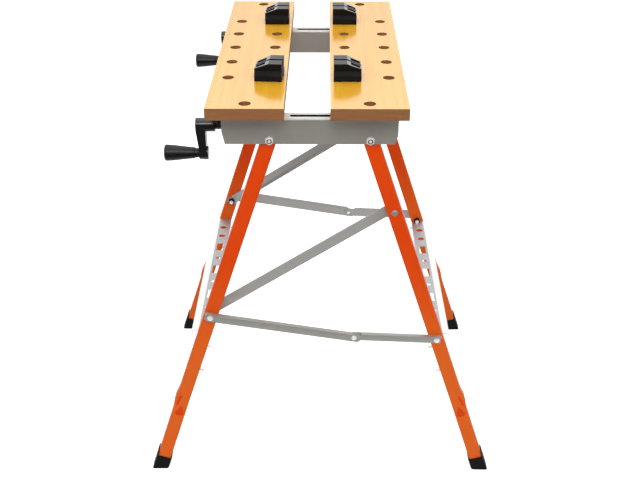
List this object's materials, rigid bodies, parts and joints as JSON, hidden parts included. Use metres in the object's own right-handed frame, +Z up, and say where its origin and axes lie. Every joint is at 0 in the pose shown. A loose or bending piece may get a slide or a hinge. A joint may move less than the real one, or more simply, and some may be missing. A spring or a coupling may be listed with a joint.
{
  "type": "folding workbench",
  "caption": "Folding workbench with two long wooden jaw boards, crank-driven vice screws, swivel dogs in peg holes, perforated tool shelves and splayed tube legs on a locking knee brace.",
  "frame": {"origin": "on the floor, under the middle of the bench between the four feet", "axes": "+Z up, +X from the cranks towards the moving jaw, +Y from the front end to the rear end"},
  "size_m": [0.6684, 0.605, 0.8168],
  "materials": {
    "varnished_wood": "clear varnish over light wood, brown cut edges",
    "orange_paint": "semi-gloss powder coat",
    "grey_paint": "satin warm grey paint on pressed sheet",
    "zinc": "bright zinc plate",
    "black_plastic": "moulded, slightly glossy"
  },
  "bodies": {
    "top_frame": {"fixed_board": "varnished_wood", "front_channel": "grey_paint", "front_fixed_riser": "grey_paint", "front_fixed_bolt": "zinc", "front_screw_bush": "black_plastic", "rear_channel": "grey_paint", "rear_fixed_riser": "grey_paint", "rear_fixed_bolt": "zinc", "rear_screw_bush": "black_plastic", "left_front_pivot_bolt": "zinc", "left_rear_pivot_bolt": "zinc", "right_front_pivot_bolt": "zinc", "right_rear_pivot_bolt": "zinc"},
    "moving_jaw": {"moving_board": "varnished_wood", "front_moving_riser": "grey_paint", "front_moving_bolt": "zinc", "front_carriage": "zinc", "rear_moving_riser": "grey_paint", "rear_moving_bolt": "zinc", "rear_carriage": "zinc"},
    "front_crank": {"front_vice_screw": "zinc", "front_crank_arm": "black_plastic", "front_knob_pin": "zinc"},
    "front_knob": {"front_knob": "black_plastic"},
    "rear_crank": {"rear_vice_screw": "zinc", "rear_crank_arm": "black_plastic", "rear_knob_pin": "zinc"},
    "rear_knob": {"rear_knob": "black_plastic"},
    "left_front_dog": {"left_front_dog": "black_plastic"},
    "left_rear_dog": {"left_rear_dog": "black_plastic"},
    "right_front_dog": {"right_front_dog": "black_plastic"},
    "right_rear_dog": {"right_rear_dog": "black_plastic"},
    "left_legs": {"left_tool_shelf": "zinc", "left_front_leg": "orange_paint", "left_front_foot": "black_plastic", "left_front_brace_bolt": "zinc", "left_rear_leg": "orange_paint", "left_rear_foot": "black_plastic", "left_rear_brace_bolt": "zinc"},
    "right_legs": {"right_tool_shelf": "zinc", "right_front_leg": "orange_paint", "right_front_foot": "black_plastic", "right_front_brace_stud": "zinc", "right_front_diagonal_bolt": "zinc", "right_rear_leg": "orange_paint", "right_rear_foot": "black_plastic", "right_rear_brace_stud": "zinc", "right_rear_diagonal_bolt": "zinc"},
    "front_brace_long": {"front_brace_long": "grey_paint", "front_knee_rivet": "zinc"},
    "front_brace_short": {"front_brace_short": "grey_paint", "front_brace_end_rivet": "zinc"},
    "front_diagonal": {"front_diagonal": "grey_paint"},
    "rear_brace_long": {"rear_brace_long": "grey_paint", "rear_knee_rivet": "zinc"},
    "rear_brace_short": {"rear_brace_short": "grey_paint", "rear_brace_end_rivet": "zinc"},
    "rear_diagonal": {"rear_diagonal": "grey_paint"}
  },
  "joints": [
    {"name": "leg_fold", "type": "hinge", "parent": "top_frame", "child": "left_legs", "pos_m": [-0.084, 0, 0.708], "axis": [0, 1, 0], "range_deg": [0, 42.5]},
    {"name": "right_leg_fold", "type": "hinge", "parent": "top_frame", "child": "right_legs", "pos_m": [0.084, 0, 0.708], "axis": [0, 1, 0], "range_deg": [0, 66.2]},
    {"name": "front_long_brace_pivot", "type": "hinge", "parent": "left_legs", "child": "front_brace_long", "pos_m": [-0.20081, -0.2493, 0.35481], "axis": [0, 1, 0], "range_deg": [-56.9, 0]},
    {"name": "front_knee", "type": "hinge", "parent": "front_brace_long", "child": "front_brace_short", "pos_m": [0.063, -0.247, 0.312], "axis": [0, 1, 0], "range_deg": [0, 136.5]},
    {"name": "front_diagonal_pivot", "type": "hinge", "parent": "left_legs", "child": "front_diagonal", "pos_m": [-0.20081, -0.2218, 0.35481], "axis": [0, 1, 0], "range_deg": [-21.8, 0]},
    {"name": "rear_long_brace_pivot", "type": "hinge", "parent": "left_legs", "child": "rear_brace_long", "pos_m": [-0.20081, 0.2493, 0.35481], "axis": [0, 1, 0], "range_deg": [-56.9, 0]},
    {"name": "rear_knee", "type": "hinge", "parent": "rear_brace_long", "child": "rear_brace_short", "pos_m": [0.063, 0.247, 0.312], "axis": [0, 1, 0], "range_deg": [0, 136.5]},
    {"name": "rear_diagonal_pivot", "type": "hinge", "parent": "left_legs", "child": "rear_diagonal", "pos_m": [-0.20081, 0.2218, 0.35481], "axis": [0, 1, 0], "range_deg": [-21.8, 0]},
    {"name": "jaw_slide", "type": "slide", "parent": "top_frame", "child": "moving_jaw", "axis": [1, 0, 0], "range_m": [-0.072, 0.02]},
    {"name": "front_crank_turn", "type": "hinge", "parent": "top_frame", "child": "front_crank", "pos_m": [-0.2, -0.2345, 0.7295], "axis": [-1, 0, 0], "range_deg": [-6481, 1801]},
    {"name": "rear_crank_turn", "type": "hinge", "parent": "top_frame", "child": "rear_crank", "pos_m": [-0.2, 0.2345, 0.7295], "axis": [-1, 0, 0], "range_deg": [-6481, 1801]},
    {"name": "front_knob_spin", "type": "hinge", "parent": "front_crank", "child": "front_knob", "pos_m": [-0.235, -0.2345, 0.6785], "axis": [1, 0, 0], "continuous": true},
    {"name": "rear_knob_spin", "type": "hinge", "parent": "rear_crank", "child": "rear_knob", "pos_m": [-0.235, 0.2345, 0.6785], "axis": [1, 0, 0], "continuous": true},
    {"name": "left_front_dog_turn", "type": "hinge", "parent": "top_frame", "child": "left_front_dog", "pos_m": [-0.0835, -0.16, 0.79], "axis": [0, 0, 1], "continuous": true},
    {"name": "left_rear_dog_turn", "type": "hinge", "parent": "top_frame", "child": "left_rear_dog", "pos_m": [-0.0835, 0.16, 0.79], "axis": [0, 0, 1], "continuous": true},
    {"name": "right_front_dog_turn", "type": "hinge", "parent": "moving_jaw", "child": "right_front_dog", "pos_m": [0.0435, -0.16, 0.79], "axis": [0, 0, 1], "continuous": true},
    {"name": "right_rear_dog_turn", "type": "hinge", "parent": "moving_jaw", "child": "right_rear_dog", "pos_m": [0.0435, 0.16, 0.79], "axis": [0, 0, 1], "continuous": true}
  ],
  "couplings": [
    {"joint": "right_leg_fold", "follows": "leg_fold", "ratio": 1.5545},
    {"joint": "front_long_brace_pivot", "follows": "leg_fold", "ratio": -1.3361},
    {"joint": "front_knee", "follows": "leg_fold", "ratio": 3.2085},
    {"joint": "front_diagonal_pivot", "follows": "leg_fold", "ratio": -0.51006},
    {"joint": "rear_long_brace_pivot", "follows": "leg_fold", "ratio": -1.3361},
    {"joint": "rear_knee", "follows": "leg_fold", "ratio": 3.2085},
    {"joint": "rear_diagonal_pivot", "follows": "leg_fold", "ratio": -0.51006},
    {"joint": "front_crank_turn", "follows": "jaw_slide", "rad_per_m": 1570.8},
    {"joint": "rear_crank_turn", "follows": "jaw_slide", "rad_per_m": 1570.8}
  ]
}
